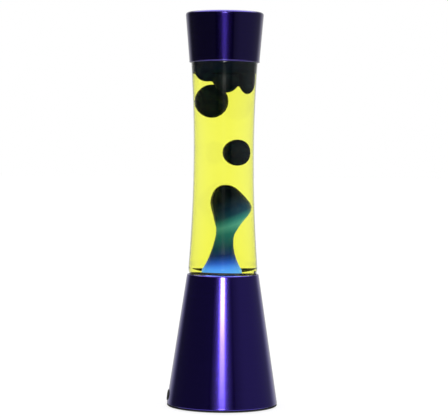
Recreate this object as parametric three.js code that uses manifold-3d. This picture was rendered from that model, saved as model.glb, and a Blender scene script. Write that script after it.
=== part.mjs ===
// A liquid motion lamp: a spun metal cone holding a reflector bulb, a wax and liquid bottle standing
// in the cone's rim, and a metal cap over the bottle's neck. Millimetres, +Z up, the lamp's axis on Z,
// the front towards -Y and the feet standing on Z = 0.
import * as THREE from "three";
import { mergeVertices } from "three/addons/utils/BufferGeometryUtils.js";
import Module from "manifold-3d";

const wasm = await Module();
wasm.setup();

// Fits
const touchGap = 0.3; // between pieces that rest on, or screw to, each other
const slideGap = 0.5; // between pieces that slide past each other
const screwGap = 0.35; // round a screw in its hole

// Base shell, a spun aluminium cone with a rolled foot and a rolled rim
const rimHeight = 134.8;
const rimRadius = 36.6;
const rimRollRadius = 1.0;
const footRadius = 55.7;
const beadHeight = 3.7; // centre of the rolled foot
const beadRadius = 1.1;
const beadStandOff = 0.6; // how far the rolled foot stands proud of the cone
const shellWall = 1.1;
const seatOverlap = 1.3; // of the seat under the bottle's flat floor
const seatThickness = 1.0;

// Bottom cover, a black moulded plate under the shell
const coverUnderside = 0.9;
const coverRim = 1.4; // thickness of the rim under the shell's foot
const coverPlate = 2.2; // thickness inside the shell
const spigotHeight = 3.4;
const spigotWall = 1.6;
const spigotGap = 1.5; // to the shell's rolled foot
const ventCount = 10;
const ventCircle = 19;
const ventLength = 10;
const ventWidth = 4;

// Rubber feet
const footPadRadius = 5.5;
const footPadInset = 11.7; // from the shell's foot in to a pad's centre
const footPadRecess = 0.8;

// Lugs inside the shell, and the screws that hold the cover to them
const lugAngles = [30, 150, 270];
const lugWidth = 12;
const lugThickness = 1.5;
const lugReach = 12; // length of the level leg
const lugRise = 14.7; // height of the upright leg
const lugGap = 0.65; // a flat lug against a round wall
const coverScrewInset = 9.7; // from the shell's foot in to a screw
const coverScrewRadius = 1.5;
const coverScrewHeadRadius = 3.0;
const coverScrewHeadHeight = 1.8;
const coverBossRadius = 4.3;
const coverBossTop = 7.0;

// Cord entry
const cordAngle = 186; // degrees round from +X: the left side, a little to the rear
const cordHeight = 11.4;
const cordBore = 3.8;
const grommetNeck = 4.9;
const grommetFlange = 5.8;
const grommetFlangeThickness = 0.9;

// Lampholder bracket, a hat-shaped steel strap across the cover
const bracketWidth = 16;
const bracketThickness = 1.5;
const bracketLeg = 24; // from the axis to the inside of a leg
const bracketToe = 37;
const bracketFootHeight = 6.3;
const bracketBridge = 14.5; // underside of the bridge
const bracketScrewAt = 31;
const bracketScrewRadius = 1.3;
const bracketScrewHeadRadius = 3.0;
const bracketBossRadius = 4.0;

// Threaded nipple and its nut
const nippleRadius = 5.0;
const nippleBore = 3.4;
const nippleBottom = 9.0;
const nippleTop = 22.5;
const nutThickness = 3.0;
const nutAcrossFlats = 14;

// Lampholder for a small screw cap
const holderRadius = 13.8;
const holderWall = 1.6;
const holderBaseHeight = 11.2;
const sleeveHeight = 30;
const insertGap = 0.6; // between the insert and the holder's sleeve
const insertHeight = 5.5;
const insertTop = 35.5;
const holderNeckRadius = 8.5;
const holderShoulder = 5.4; // from the holder's underside up to its full width
const holderFloor = 2.0;
const terminalRadius = 2.0;
const terminalAt = 5.5;
const terminalHeight = 3.2;
const centreContactHeight = 1.9;

// Bulb, a small reflector lamp with a screw cap
const capCrest = 6.95;
const capRoot = 6.35;
const threadPitch = 2.82;
const threadTurns = 5;
const shellTurns = 4;
const capMetal = 0.45;
const bulbLength = 69;
const bulbRadius = 19.5;
const bulbNeck = 7.6;
const bulbWall = 0.8;
const bulbCrown = 10; // height of the domed face
const contactLength = 5.4;
const contactRadius = 1.9;
const insulatorRadius = 4.6;
const capStart = 4; // the lowest thread, and the heights below, are above the tip of the contact
const neckStart = 21;
const reflectorStart = 34;
const stemTop = 42.5;
const filamentHeight = 52;
const filamentHalf = 5.3;
const filamentRadius = 0.45;
const supportWireRadius = 0.35;

// Earth terminal on the bracket
const earthAt = 19;
const earthTagRadius = 3.2;
const earthTagThickness = 0.8;
const earthTagTail = 9.3;

// Terminal block and leads
const leadRadius = 0.9;
const poleSpacing = 8;
const blockLength = 24;
const blockDepth = 10;
const blockHeight = 9;
const blockFront = 26.3;
const blockScrewRadius = 1.6;
const wireBore = 1.5;
const wireRise = 3.4; // of the wire bores above the block's underside
const blockFixingAt = 4;

// Bottle
const glassWall = 2.4;
const glassFloor = 2.6;
const heelInset = 1.3; // the widest part of the bottle is this much inside the shell's rim
const heelRound = 9.5;
const seatDepth = 5.1; // from the shell's rim down to the bottle's underside
const waistRadius = 30.5;
const waistAboveRim = 125.2;
const shoulderAboveRim = 217.2;
const shoulderRadius = 33.9;
const neckRadius = 12.2;
const neckAboveShoulder = 26;
const finishRadius = 13.3;
const finishHeight = 6.0;
const finishTopAboveShoulder = 39;
const mouthRadius = 8.5;
const puntDepth = 1.6;

// Crown cap on the bottle's mouth
const linerThickness = 0.8;
const crownWall = 0.4;
const crownSkirt = 6.2;
const crownFlare = 1.6;
const crownFlutes = 21;
const fluteDepth = 0.35;

// Top cap, an inverted spun cone
const capMouthAboveRim = 214.6;
const capHeight = 50.6;
const capTopRadius = 39.55;
const capWall = 0.8;
const capTopThickness = 1.1;
const capGap = 0.4; // to the bottle's shoulder
const capEdgeRound = 2.5;
const capHem = 0.9;
const padRadius = 20;

// Wax coil and the liquid
const coilInset = 8.9; // from the bottle's widest part in to the coil
const coilWire = 0.9;
const coilTurns = 2;
const coilPitch = 2 * coilWire + 0.1;
const levelAboveShoulder = 4; // the liquid's surface, where the top of the wax floats
const ballClearance = 2; // from a wax ball at the end of its travel to the wax beyond it

// Facets round the turned pieces
const aroundLarge = 32;
const aroundSmall = 16;
const aroundTiny = 8;

// Radii that follow from the sizes above
const footPadCircle = footRadius - footPadInset;
const coverScrewCircle = footRadius - coverScrewInset;
const insertRadius = holderRadius - holderWall - insertGap;
const heelRadius = rimRadius - heelInset;
const seatInnerRadius = heelRadius - heelRound - seatOverlap;
const coilRadius = heelRadius - coilInset;

// Heights that follow from the sizes above
const bottleBottom = rimHeight - seatDepth;
const bottleFloor = bottleBottom + glassFloor;
const heelTop = bottleBottom + heelRound;
const waistHeight = rimHeight + waistAboveRim;
const shoulderHeight = rimHeight + shoulderAboveRim;
const neckHeight = shoulderHeight + neckAboveShoulder;
const bottleTop = shoulderHeight + finishTopAboveShoulder;
const liquidLevel = shoulderHeight + levelAboveShoulder;
const capMouth = rimHeight + capMouthAboveRim;
const capTop = capMouth + capHeight;
const capMouthRadius = shoulderRadius + capGap + capWall;
const coverTop = coverUnderside + coverPlate;
const bulbTip = insertTop + touchGap + centreContactHeight + touchGap;
const bulbTop = bulbTip + bulbLength;
const holderBottom = bracketBridge + bracketThickness + touchGap;
const blockBottom = coverTop + touchGap;
const blockCentre = blockFront + blockDepth / 2;
const blockTop = blockBottom + blockHeight;
const wireHeight = blockBottom + wireRise;

const group = new THREE.Group();

// Looks
const looks = {
  purple: { color: 0x1a0f48, roughness: 0.28, metalness: 1.0 },
  blackPlastic: { color: 0x0c0c0e, roughness: 0.55, metalness: 0.0 },
  rubber: { color: 0x111111, roughness: 0.9, metalness: 0.0 },
  steel: { color: 0xb4b6ba, roughness: 0.4, metalness: 1.0 },
  brass: { color: 0xc9a04c, roughness: 0.35, metalness: 1.0 },
  ceramic: { color: 0xe9e6dd, roughness: 0.45, metalness: 0.0 },
  nylon: { color: 0xdedfe0, roughness: 0.5, metalness: 0.0 },
  clearGlass: { color: 0xf4f8f4, roughness: 0.05, metalness: 0.0, transparent: true, opacity: 0.3 },
  bulbGlass: { color: 0xd9d9d6, roughness: 0.2, metalness: 0.3 },
  blackGlass: { color: 0x15120f, roughness: 0.2, metalness: 0.0 },
  tungsten: { color: 0x77746e, roughness: 0.5, metalness: 1.0 },
  solder: { color: 0xa9aaad, roughness: 0.45, metalness: 1.0 },
  liquid: { color: 0xfaf75a, roughness: 0.1, metalness: 0.0, transparent: true, opacity: 0.6 },
  wax: { color: 0x14222e, roughness: 0.35, metalness: 0.0 },
  wire: { color: 0x4c4a33, roughness: 0.4, metalness: 1.0 },
  foam: { color: 0x2a2a2c, roughness: 0.95, metalness: 0.0 },
  liveLead: { color: 0x6b3f22, roughness: 0.6, metalness: 0.0 },
  neutralLead: { color: 0x2b5fae, roughness: 0.6, metalness: 0.0 },
  earthLead: { color: 0x86a83a, roughness: 0.6, metalness: 0.0 },
};

function add(name, geometry, look) {
  const mesh = new THREE.Mesh(geometry, new THREE.MeshStandardMaterial(looks[look]));
  mesh.name = name;
  group.add(mesh);
}

const radians = (degrees) => (degrees * Math.PI) / 180;
const at = (r, z) => new THREE.Vector2(r, z);

// A solid turned round Z from an outline of (radius, height) points, which closes on itself or on the axis.
function turned(outline, around) {
  const points = outline.map((p) => p.clone());
  const onAxis = points[0].x === 0 && points.at(-1).x === 0;
  if (THREE.ShapeUtils.area(points) < 0) points.reverse();
  if (!onAxis) points.push(points[0].clone());
  return new THREE.LatheGeometry(points, around).rotateX(Math.PI / 2);
}

// An upright rod or disc between two heights.
function rod(radius, low, high, x = 0, y = 0, around = aroundTiny) {
  const geometry = new THREE.CylinderGeometry(radius, radius, high - low, around);
  return geometry.rotateX(Math.PI / 2).translate(x, y, (low + high) / 2);
}

function block(low, high) {
  const size = high.map((value, i) => value - low[i]);
  const centre = high.map((value, i) => (value + low[i]) / 2);
  return new THREE.BoxGeometry(...size).translate(...centre);
}

// A flat outline of (x, y) points standing up from one height to another.
function slab(points, low, high) {
  const shape = new THREE.Shape(points.map(([x, y]) => at(x, y)));
  return new THREE.ExtrudeGeometry(shape, { depth: high - low, bevelEnabled: false }).translate(0, 0, low);
}

// An outline in the (radius, height) plane, as thick as `width` across it, facing along +X.
function rib(points, width) {
  const shape = new THREE.Shape(points.map(([x, z]) => at(x, z)));
  const geometry = new THREE.ExtrudeGeometry(shape, { depth: width, bevelEnabled: false });
  return geometry.rotateX(Math.PI / 2).translate(0, width / 2, 0);
}

function hexagon(acrossFlats) {
  const corner = acrossFlats / 2 / Math.cos(Math.PI / 6);
  return Array.from({ length: 6 }, (_, i) => {
    const angle = (i * Math.PI) / 3;
    return [corner * Math.cos(angle), corner * Math.sin(angle)];
  });
}

function tube(points, radius, steps, sides = 6) {
  const path = new THREE.CatmullRomCurve3(points.map((p) => new THREE.Vector3(...p)));
  return tubeOn(path, radius, steps, sides);
}

function tubeOn(path, radius, steps, sides) {
  const section = Array.from({ length: sides }, (_, i) => {
    const angle = (i * 2 * Math.PI) / sides;
    return at(radius * Math.cos(angle), radius * Math.sin(angle));
  });
  const shape = new THREE.Shape(section);
  return new THREE.ExtrudeGeometry(shape, { steps, extrudePath: path, bevelEnabled: false });
}

// Booleans
function solid(geometry) {
  const bare = new THREE.BufferGeometry();
  const loose = geometry.index ? geometry.toNonIndexed() : geometry;
  bare.setAttribute("position", loose.getAttribute("position"));
  const merged = mergeVertices(bare, 1e-3);
  const vertProperties = new Float32Array(merged.attributes.position.array);
  const triVerts = new Uint32Array(merged.index.array);
  return new wasm.Manifold(new wasm.Mesh({ numProp: 3, vertProperties, triVerts }));
}

function geometryOf(manifold) {
  const { vertProperties, triVerts } = manifold.getMesh();
  const geometry = new THREE.BufferGeometry();
  geometry.setAttribute("position", new THREE.BufferAttribute(vertProperties, 3));
  geometry.setIndex(new THREE.BufferAttribute(triVerts, 1));
  return geometry;
}

const joined = (...pieces) => geometryOf(pieces.map(solid).reduce((a, b) => a.add(b)));
const cut = (body, ...tools) => geometryOf(tools.map(solid).reduce((a, b) => a.subtract(b), solid(body)));

const turnTo = (geometry, degrees) => geometry.rotateZ(radians(degrees));
const placeOn = (circle, degrees) => [
  circle * Math.cos(radians(degrees)),
  circle * Math.sin(radians(degrees)),
];

// Points on an arc in the (radius, height) plane, from one angle to another in degrees.
function arc(centre, radius, from, to, steps) {
  return Array.from({ length: steps + 1 }, (_, i) => {
    const angle = radians(from + ((to - from) * i) / steps);
    return at(centre.x + radius * Math.cos(angle), centre.y + radius * Math.sin(angle));
  });
}

// Base shell
function coneRadius(z) {
  const top = rimHeight - rimRollRadius;
  const share = (z - beadHeight) / (top - beadHeight);
  return footRadius + (rimRadius - footRadius) * share;
}

const coneInside = (z) => coneRadius(z) - shellWall;

function baseShell() {
  const bead = at(footRadius + beadStandOff - beadRadius, beadHeight);
  const roll = at(rimRadius - rimRollRadius, rimHeight - rimRollRadius);
  const lip = roll.x - rimRollRadius;
  const seatTop = bottleBottom - touchGap;
  const seatUnder = seatTop - seatThickness;
  const outline = [
    ...arc(bead, beadRadius, 180, 390, 6),
    ...arc(roll, rimRollRadius, 0, 180, 4),
    at(lip, seatTop + 2.6),
    at(lip - 0.7, seatTop + 0.9),
    at(lip - 2.4, seatTop),
    at(seatInnerRadius, seatTop),
    at(seatInnerRadius, seatUnder),
    at(lip - 1.6, seatUnder),
    at(lip + 0.6, seatUnder + 2.0),
    at(coneInside(seatUnder + 1), seatUnder + 1),
    at(coneInside(beadHeight + beadRadius), beadHeight + beadRadius),
  ];
  const hole = rod(grommetNeck + slideGap, -8, 8, 0, 0, aroundSmall);
  return cut(turned(outline, aroundLarge), intoWall(hole));
}

// Lays a piece that stands on Z along the cord's way out, square to the leaning wall, with its
// origin on the wall's outside.
function intoWall(geometry) {
  const lean = Math.atan((footRadius - rimRadius) / (rimHeight - rimRollRadius - beadHeight));
  const laid = geometry.rotateY(Math.PI / 2 - lean).translate(coneRadius(cordHeight), 0, cordHeight);
  return turnTo(laid, cordAngle);
}

// A spool-shaped rubber ring: a flange outside the wall, one inside, and a neck through it.
function cordGrommet() {
  const neck = grommetNeck;
  const inside = -shellWall - 2 * touchGap; // leaves room for the wall's curve
  const outline = [
    at(cordBore, inside - grommetFlangeThickness),
    at(grommetFlange, inside - grommetFlangeThickness),
    at(grommetFlange, inside),
    at(neck, inside),
    at(neck, touchGap),
    at(grommetFlange, touchGap),
    at(grommetFlange - 0.5, touchGap + grommetFlangeThickness),
    at(cordBore, touchGap + grommetFlangeThickness),
  ];
  return intoWall(turned(outline, aroundSmall));
}

// Bottom cover
const spigotRadius = footRadius + beadStandOff - 2 * beadRadius - spigotGap;
const footPadAngles = lugAngles.map((angle) => angle + 60);

function bottomCover() {
  const plate = turned(
    [
      at(0, coverUnderside),
      at(footRadius, coverUnderside),
      at(footRadius + 0.4, coverUnderside + 0.4),
      at(footRadius + 0.4, coverUnderside + coverRim),
      at(spigotRadius, coverUnderside + coverRim),
      at(spigotRadius, coverTop + spigotHeight),
      at(spigotRadius - spigotWall, coverTop + spigotHeight),
      at(spigotRadius - spigotWall, coverTop),
      at(0, coverTop),
    ],
    aroundLarge,
  );
  const added = [plate];
  const tools = [];
  for (const angle of lugAngles) {
    const [x, y] = placeOn(coverScrewCircle, angle);
    const shoulder = coverUnderside + coverScrewHeadHeight + 2 * touchGap;
    added.push(rod(coverBossRadius, coverUnderside + 0.1, coverBossTop, x, y, aroundSmall));
    tools.push(rod(coverScrewRadius + screwGap, 0, coverBossTop + 1, x, y));
    tools.push(rod(coverScrewHeadRadius + screwGap, 0, shoulder, x, y));
  }
  for (const side of [-1, 1]) {
    const x = side * bracketScrewAt;
    const bossTop = bracketFootHeight - touchGap;
    added.push(rod(bracketBossRadius, coverUnderside + 0.1, bossTop, x, 0, aroundSmall));
    tools.push(rod(bracketScrewRadius + screwGap, coverUnderside + 1.0, bracketFootHeight, x, 0));
  }
  for (const angle of footPadAngles) {
    const [x, y] = placeOn(footPadCircle, angle);
    tools.push(rod(footPadRadius + touchGap, 0, coverUnderside + footPadRecess, x, y, aroundSmall));
  }
  for (let i = 0; i < ventCount; i += 1) {
    const half = ventLength / 2;
    const slot = block(
      [ventCircle - half, -ventWidth / 2, 0],
      [ventCircle + half, ventWidth / 2, coverTop + 1],
    );
    tools.push(turnTo(slot, ((i + 0.5) * 360) / ventCount));
  }
  const pilot = coverUnderside + 0.6;
  tools.push(rod(bracketScrewRadius + screwGap, pilot, coverTop + 1, blockFixingAt, blockCentre));
  const notch = block(
    [spigotRadius - 2 * spigotWall, -grommetFlange - 1, coverTop],
    [spigotRadius + 1, grommetFlange + 1, coverTop + spigotHeight + 1],
  );
  tools.push(turnTo(notch, cordAngle));
  return cut(joined(...added), ...tools);
}

function footPad(angle) {
  const [x, y] = placeOn(footPadCircle, angle);
  const top = coverUnderside + footPadRecess - touchGap;
  const outline = [
    at(0, 0),
    at(footPadRadius - 0.4, 0),
    at(footPadRadius, 0.4),
    at(footPadRadius, top),
    at(0, top),
  ];
  return turned(outline, aroundSmall).translate(x, y, 0);
}

function shellLug(angle) {
  const low = coverBossTop + touchGap;
  const top = low + lugRise;
  const face = (z) => coneInside(z) - lugGap;
  const outline = [
    [face(low) - lugReach, low],
    [face(low), low],
    [face(top), top],
    [face(top) - lugThickness, top],
    [face(low + lugThickness) - lugThickness, low + lugThickness],
    [face(low) - lugReach, low + lugThickness],
  ];
  const hole = rod(coverScrewRadius + screwGap, low - 1, low + lugThickness + 1, coverScrewCircle, 0);
  return turnTo(cut(rib(outline, lugWidth), hole), angle);
}

// A pan-head screw standing on its head's flat: from the head's outer end, towards `tip`.
function screw(headRadius, headHeight, shankRadius, headEnd, tip, x, y) {
  const up = Math.sign(tip - headEnd);
  const seat = headEnd + up * headHeight;
  const outline = [
    at(0, headEnd),
    at(headRadius * 0.8, headEnd),
    at(headRadius, headEnd + up * headHeight * 0.35),
    at(headRadius, seat),
    at(shankRadius, seat),
    at(shankRadius, tip - up * shankRadius * 0.5),
    at(shankRadius * 0.6, tip),
    at(0, tip),
  ];
  return turned(outline, aroundTiny).translate(x, y, 0);
}

function coverScrew(angle) {
  const [x, y] = placeOn(coverScrewCircle, angle);
  const headEnd = coverUnderside + touchGap;
  const tip = coverBossTop + touchGap + lugThickness + 3;
  return screw(coverScrewHeadRadius, coverScrewHeadHeight, coverScrewRadius, headEnd, tip, x, y);
}

// Bracket, nipple and nuts
function lampholderBracket() {
  const foot = bracketFootHeight;
  const bridge = bracketBridge;
  const t = bracketThickness;
  const half = [
    [bracketLeg, bridge],
    [bracketLeg, foot],
    [bracketToe, foot],
    [bracketToe, foot + t],
    [bracketLeg + t, foot + t],
    [bracketLeg + t, bridge + t],
  ];
  const mirrored = half.map(([x, z]) => [-x, z]).reverse();
  const strap = rib([...half, ...mirrored], bracketWidth);
  const screwHoles = [-1, 1].map((side) =>
    rod(bracketScrewRadius + screwGap, foot - 1, foot + t + 1, side * bracketScrewAt, 0),
  );
  return cut(
    strap,
    rod(nippleRadius + touchGap, bridge - 1, bridge + t + 1, 0, 0, aroundSmall),
    rod(bracketScrewRadius + screwGap, bridge - 1, bridge + t + 1, earthAt, 0),
    ...screwHoles,
  );
}

function bracketScrew(side) {
  const seat = bracketFootHeight + bracketThickness + touchGap;
  const tip = coverUnderside + 1.0 + touchGap;
  return screw(bracketScrewHeadRadius, 1.8, bracketScrewRadius, seat + 1.8, tip, side * bracketScrewAt, 0);
}

function ring(inner, outer, low, high, around = aroundSmall) {
  return turned([at(inner, low), at(outer, low), at(outer, high), at(inner, high)], around);
}

function hexNut(acrossFlats, bore, low, thickness, x) {
  const body = slab(hexagon(acrossFlats), low, low + thickness);
  return cut(body, rod(bore, low - 1, low + thickness + 1, 0, 0, aroundSmall)).translate(x, 0, 0);
}

// Lampholder
function holderBase() {
  const low = holderBottom;
  const top = low + holderBaseHeight;
  const outline = [
    at(nippleRadius + touchGap, low),
    at(holderNeckRadius, low),
    at(holderRadius, low + holderShoulder),
    at(holderRadius, top),
    at(holderRadius - holderWall, top),
    at(holderRadius - holderWall, low + holderShoulder + 0.8),
    at(holderNeckRadius - 0.6, low + holderFloor),
    at(nippleRadius + touchGap, low + holderFloor),
  ];
  return turned(outline, aroundSmall);
}

function holderSleeve() {
  const low = holderBottom + holderBaseHeight + touchGap;
  const top = low + sleeveHeight;
  const outline = [
    at(insertRadius + touchGap, low),
    at(holderRadius, low),
    at(holderRadius - 0.5, top - 1),
    at(holderRadius - 1, top),
    at(insertRadius + touchGap, top),
  ];
  return turned(outline, aroundSmall);
}

// A thread drawn as even ridges: points from the lowest to the highest.
function ridges(low, crest, root, turns) {
  return Array.from({ length: turns * 2 + 1 }, (_, i) => {
    const radius = i % 2 ? crest : root;
    return at(radius, low + (i * threadPitch) / 2);
  });
}

function screwShell() {
  const low = insertTop + touchGap;
  const clear = capCrest + touchGap;
  const depth = capCrest - capRoot;
  const inside = ridges(low + 1, clear + depth, clear, shellTurns);
  const top = inside.at(-1).y + 1;
  const outside = inside.map((p) => at(p.x + capMetal, p.y)).reverse();
  const outline = [at(clear, low), ...inside, at(clear, top), at(clear + capMetal, top), ...outside];
  outline.push(at(clear + capMetal + 1.5, low + capMetal), at(clear + capMetal + 1.5, low));
  return turned(outline, aroundSmall);
}

// Bulb: all heights are measured from the tip of its contact.
function bulbCap() {
  const low = bulbTip + capStart;
  const collar = insulatorRadius + touchGap;
  const outside = ridges(low, capCrest, capRoot, threadTurns);
  const thread = outside.at(-1).y;
  const skirt = bulbNeck + touchGap;
  const outline = [
    at(collar, low - 0.7),
    ...outside,
    at(skirt + capMetal, thread + 2.2),
    at(skirt + capMetal, thread + 5.2),
    at(skirt, thread + 5.2),
    at(skirt, thread + 2.4),
    at(capRoot - capMetal, thread + 0.2),
    at(capRoot - capMetal, low + 0.4),
    at(collar, low - 0.2),
  ];
  return turned(outline, aroundSmall);
}

function bulbEnvelope() {
  const neckLow = bulbTip + neckStart;
  const rimZ = bulbTop - bulbCrown;
  const crown = (radius, rise, inset) =>
    Array.from({ length: 5 }, (_, i) => {
      const angle = radians(i * 22.5);
      return at((radius - inset) * Math.cos(angle), rimZ + (rise - inset) * Math.sin(angle));
    });
  const flare = new THREE.CubicBezierCurve(
    at(bulbNeck, bulbTip + reflectorStart),
    at(bulbNeck + 1, bulbTip + reflectorStart + 8),
    at(bulbRadius - 0.5, bulbTip + reflectorStart + 12),
    at(bulbRadius, rimZ - 3),
  ).getPoints(5);
  const collar = at(bulbNeck - 2, neckLow);
  const outside = [collar, at(bulbNeck - 2, neckLow + 3), at(bulbNeck, neckLow + 6), ...flare];
  const inside = outside.map((p) => at(p.x - bulbWall, p.y)).reverse();
  const innerCrown = crown(bulbRadius, bulbCrown, bulbWall).reverse();
  innerCrown[0].x = 0;
  const outerCrown = crown(bulbRadius, bulbCrown, 0);
  outerCrown.at(-1).x = 0;
  return turned([...innerCrown, ...inside, ...outside, ...outerCrown], aroundSmall);
}

function bulbStem() {
  const low = bulbTip + neckStart;
  const top = bulbTip + stemTop - 0.5;
  const outline = [
    at(0, low),
    at(4.2, low),
    at(4.2, low + 2),
    at(2, low + 6),
    at(2, top - 1),
    at(0, top),
  ];
  return turned(outline, aroundTiny);
}

function bulbInsulator() {
  const bore = contactRadius + touchGap;
  const outline = [
    at(bore, bulbTip + 0.8),
    at(bore + 0.9, bulbTip + 0.8),
    at(insulatorRadius, bulbTip + 3),
    at(insulatorRadius, bulbTip + 5),
    at(bore, bulbTip + 5),
  ];
  return turned(outline, aroundSmall);
}

function bulbContact() {
  const outline = [
    at(0, bulbTip),
    at(contactRadius - 0.7, bulbTip + 0.2),
    at(contactRadius, bulbTip + 0.9),
    at(contactRadius, bulbTip + contactLength),
    at(0, bulbTip + contactLength),
  ];
  return turned(outline, aroundTiny);
}

function supportWire(side) {
  const points = [
    [side, 0, bulbTip + stemTop],
    [side * 2.2, 0, bulbTip + stemTop + 3.5],
    [side * (filamentHalf + 0.9), 0, bulbTip + filamentHeight],
  ];
  return tube(points, supportWireRadius, 6);
}

function filament() {
  const middle = bulbTip + filamentHeight + 1.2;
  const points = [-1, -0.5, 0, 0.5, 1].map((share) => {
    const x = share * filamentHalf;
    return [x, 0, middle - (x * x) / 25];
  });
  return tube(points, filamentRadius, 10);
}

// Bottle: the outside, and the inside one wall in
function bottleRadius(z) {
  const below = z < waistHeight;
  const end = below ? heelTop : shoulderHeight;
  const endRadius = below ? heelRadius : shoulderRadius;
  const share = (z - waistHeight) / (end - waistHeight);
  return waistRadius + (endRadius - waistRadius) * share * share;
}

function bottleSide(wall) {
  const steps = 6;
  const body = Array.from({ length: steps + 1 }, (_, i) => {
    const z = heelTop + ((shoulderHeight - heelTop) * i) / steps;
    return at(bottleRadius(z) - wall, z);
  });
  const shoulder = new THREE.CubicBezierCurve(
    at(shoulderRadius - wall, shoulderHeight),
    at(shoulderRadius + 0.5 - wall, shoulderHeight + 13 - wall / 2),
    at(neckRadius + 1 - wall, shoulderHeight + 12 - wall / 2),
    at(neckRadius - wall, neckHeight),
  ).getPoints(4);
  const heelCentre = at(heelRadius - heelRound, heelTop);
  const heel = arc(heelCentre, heelRound - wall, -90, 0, 3);
  return [...heel.slice(0, -1), ...body.slice(0, -1), ...shoulder];
}

function glassBottle() {
  const finishLow = bottleTop - finishHeight;
  const outside = [
    at(0, bottleBottom + puntDepth),
    at(15, bottleBottom + puntDepth * 0.6),
    at(19, bottleBottom),
    ...bottleSide(0),
    at(neckRadius, finishLow - 1),
    at(finishRadius, finishLow),
    at(finishRadius, bottleTop - 1),
    at(finishRadius - 1, bottleTop),
    at(mouthRadius, bottleTop),
  ];
  const inside = bottleSide(glassWall).reverse();
  const floor = [at(heelRadius - heelRound - 2, bottleFloor), at(0, bottleFloor + puntDepth)];
  inside.pop();
  return turned([...outside, at(mouthRadius, neckHeight + 2), ...inside, ...floor], aroundLarge);
}

function crownCap() {
  const under = bottleTop + touchGap + linerThickness + touchGap;
  const top = under + crownWall;
  const skirtLow = top - crownSkirt;
  const skirt = finishRadius + 0.7;
  const low = skirt + crownFlare;
  const outline = [
    at(0, under),
    at(skirt - crownWall - 0.4, under),
    at(skirt - crownWall, under - 1.2),
    at(low - crownWall, skirtLow),
    at(low, skirtLow),
    at(skirt, under - 1.2),
    at(skirt - 0.9, top),
    at(0, top),
  ];
  const geometry = turned(outline, crownFlutes * 2);
  const position = geometry.getAttribute("position");
  for (let i = 0; i < position.count; i += 1) {
    const [x, y, z] = [position.getX(i), position.getY(i), position.getZ(i)];
    const drop = Math.max(0, (under - z) / (under - skirtLow));
    const swing = Math.cos(crownFlutes * Math.atan2(y, x)) * fluteDepth * Math.min(1, drop * 1.5);
    const grow = Math.hypot(x, y) > 1 ? 1 + swing / Math.hypot(x, y) : 1;
    position.setXY(i, x * grow, y * grow);
  }
  return geometry;
}

// Top cap
function topCap() {
  const hem = at(capMouthRadius - 0.2, capMouth + capHem);
  const edge = at(capTopRadius - capEdgeRound, capTop - capEdgeRound);
  const outline = [
    at(0, capTop - capTopThickness),
    at(capTopRadius - capEdgeRound, capTop - capTopThickness),
    at(capTopRadius - capWall - 0.4, edge.y),
    at(capMouthRadius - capWall, capMouth + 3),
    at(capMouthRadius - capWall, capMouth + 0.4),
    ...arc(hem, capHem, 250, 400, 5),
    ...arc(edge, capEdgeRound, 0, 90, 4),
    at(0, capTop),
  ];
  return turned(outline, aroundLarge);
}

// Wax: every shape takes an `extra` skin, which the liquid's hollows use as their clearance.
const foot = rimHeight; // the wax column's heights are measured up from the shell's rim
const columnSections = [
  // height above the rim, sideways shift, radius
  [0, 0, 16.5],
  [3.5, -0.9, 14.7],
  [9, -0.8, 12.9],
  [15, -0.6, 11],
  [21, -0.4, 9.3],
  [28, 0.1, 8],
  [36, 0.9, 7.2],
  [41, 1.7, 7.3],
  [47, 3.4, 9],
  [52, 4.7, 11.5],
  [57, 6.2, 14],
  [61.5, 7.2, 16.2],
  [65.5, 7.5, 17.3],
  [70, 6.5, 16.9],
  [75.5, 5.1, 14.7],
  [81, 3.7, 11.6],
  [85, 3.2, 8.4],
  [87.5, 2.8, 4.6],
];
const columnTop = foot + columnSections.at(-1)[0] + 0.8;

function waxColumn(extra) {
  const low = bottleFloor + puntDepth + touchGap - extra;
  const pool = coilRadius - coilWire - slideGap - 1.5;
  const rows = [[low - foot, 0, pool - 0.6], [low - foot + 0.8, 0, pool], ...columnSections];
  const around = aroundSmall;
  const position = [];
  for (const [height, shift, radius] of rows) {
    for (let i = 0; i < around; i += 1) {
      const angle = (i * 2 * Math.PI) / around;
      const reach = radius + extra;
      position.push(shift + reach * Math.cos(angle), reach * Math.sin(angle), foot + height);
    }
  }
  const last = rows.at(-1);
  const lowCentre = rows.length * around;
  position.push(0, 0, low, last[1], 0, columnTop + extra);
  const index = [];
  for (let row = 0; row < rows.length - 1; row += 1) {
    for (let i = 0; i < around; i += 1) {
      const a = row * around + i;
      const b = row * around + ((i + 1) % around);
      index.push(a, b, b + around, a, b + around, a + around);
    }
  }
  for (let i = 0; i < around; i += 1) {
    const next = (i + 1) % around;
    const rim = (rows.length - 1) * around;
    index.push(lowCentre, next, i, lowCentre + 1, rim + i, rim + next);
  }
  const geometry = new THREE.BufferGeometry();
  geometry.setAttribute("position", new THREE.Float32BufferAttribute(position, 3));
  geometry.setIndex(index);
  return geometry;
}

function egg([x, y, z], [rx, ry, rz], around = aroundSmall) {
  const ball = new THREE.SphereGeometry(1, around, Math.round(around * 0.6)).rotateX(Math.PI / 2);
  return ball.scale(rx, ry, rz).translate(x, y, z);
}

// The wax gathered under the cap: a thick disc with three lobes hanging from it.
const topMassLow = 203; // heights above the rim
const topMassGap = 2.2; // to the glass
const topLobes = [
  { centre: [1.5, -9, 199.2], radii: [12, 11, 15.5] },
  { centre: [19, -4, 198.2], radii: [8, 12, 15.5] },
  { centre: [-14, -7, 208], radii: [13, 12, 13] },
];

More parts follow.
